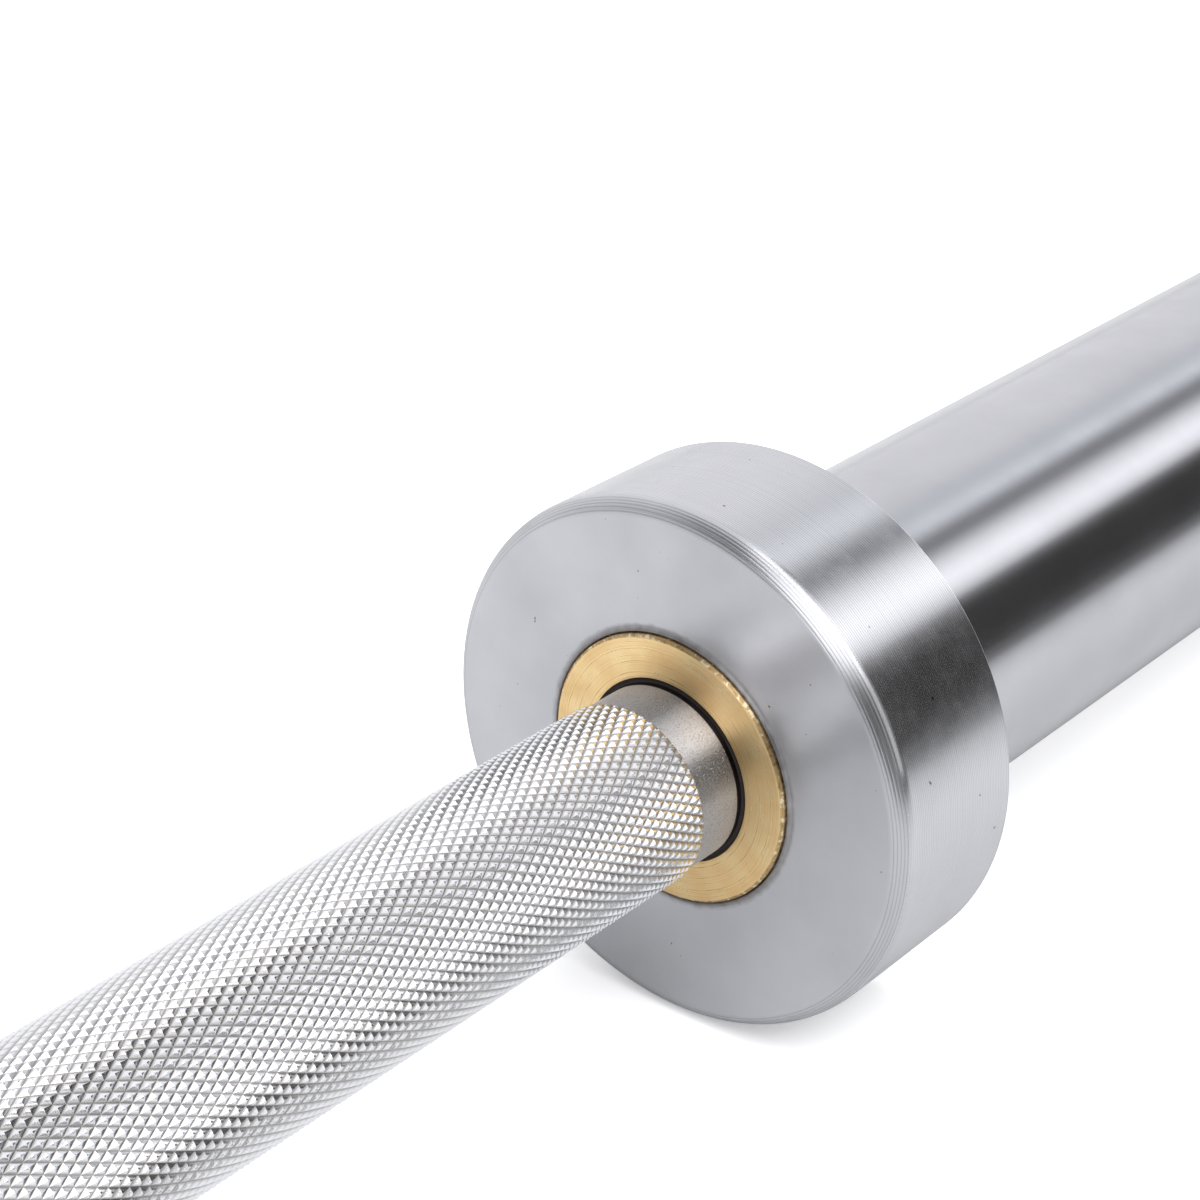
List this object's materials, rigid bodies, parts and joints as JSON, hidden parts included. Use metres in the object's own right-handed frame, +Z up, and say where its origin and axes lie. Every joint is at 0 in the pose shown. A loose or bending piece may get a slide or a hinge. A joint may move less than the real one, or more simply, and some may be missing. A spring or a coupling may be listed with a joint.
{
  "type": "olympic barbell",
  "caption": "Weightlifting bar: a knurled steel shaft with rotating plate sleeves, each on bronze bushes behind a wide round collar.",
  "frame": {"origin": "middle of the shaft's axis, half way between the two ends", "axes": "+X along the bar towards the right end, +Z up, +Y away from a lifter who faces along it"},
  "size_m": [2.01, 0.075, 0.075],
  "materials": {
    "shaft_steel": "satin chrome over diamond knurling",
    "collar_chrome": "satin chrome, turned",
    "sleeve_chrome": "polished chrome",
    "bronze": "turned, brushed round the axis",
    "seal_rubber": "matt black",
    "spring_steel": "black phosphate",
    "washer_steel": "ground",
    "cap_chrome": "satin chrome"
  },
  "bodies": {
    "shaft": {"shaft": "shaft_steel", "right_inner_shaft_circlip": "spring_steel", "right_outer_shaft_circlip": "spring_steel", "left_inner_shaft_circlip": "spring_steel", "left_outer_shaft_circlip": "spring_steel"},
    "right_sleeve": {"right_collar": "collar_chrome", "right_sleeve_tube": "sleeve_chrome", "right_inner_bush": "bronze", "right_dust_seal": "seal_rubber", "right_outer_bush": "bronze", "right_bush_spring_ring": "spring_steel", "right_end_cap": "cap_chrome", "right_cap_circlip": "spring_steel"},
    "left_sleeve": {"left_collar": "collar_chrome", "left_sleeve_tube": "sleeve_chrome", "left_inner_bush": "bronze", "left_dust_seal": "seal_rubber", "left_outer_bush": "bronze", "left_bush_spring_ring": "spring_steel", "left_end_cap": "cap_chrome", "left_cap_circlip": "spring_steel"},
    "right_inner_washer": {"right_inner_thrust_washer": "washer_steel"},
    "right_outer_washer": {"right_outer_thrust_washer": "washer_steel"},
    "left_inner_washer": {"left_inner_thrust_washer": "washer_steel"},
    "left_outer_washer": {"left_outer_thrust_washer": "washer_steel"}
  },
  "joints": [
    {"name": "right_sleeve_spin", "type": "hinge", "parent": "shaft", "child": "right_sleeve", "pos_m": [0.83, 0, 0], "axis": [1, 0, 0], "continuous": true},
    {"name": "left_sleeve_spin", "type": "hinge", "parent": "shaft", "child": "left_sleeve", "pos_m": [-0.83, 0, 0], "axis": [1, 0, 0], "continuous": true},
    {"name": "right_inner_washer_turn", "type": "hinge", "parent": "shaft", "child": "right_inner_washer", "pos_m": [0.94865, 0, 0], "axis": [1, 0, 0], "continuous": true},
    {"name": "right_outer_washer_turn", "type": "hinge", "parent": "shaft", "child": "right_outer_washer", "pos_m": [0.98125, 0, 0], "axis": [1, 0, 0], "continuous": true},
    {"name": "left_inner_washer_turn", "type": "hinge", "parent": "shaft", "child": "left_inner_washer", "pos_m": [-0.94865, 0, 0], "axis": [1, 0, 0], "continuous": true},
    {"name": "left_outer_washer_turn", "type": "hinge", "parent": "shaft", "child": "left_outer_washer", "pos_m": [-0.98125, 0, 0], "axis": [1, 0, 0], "continuous": true}
  ]
}
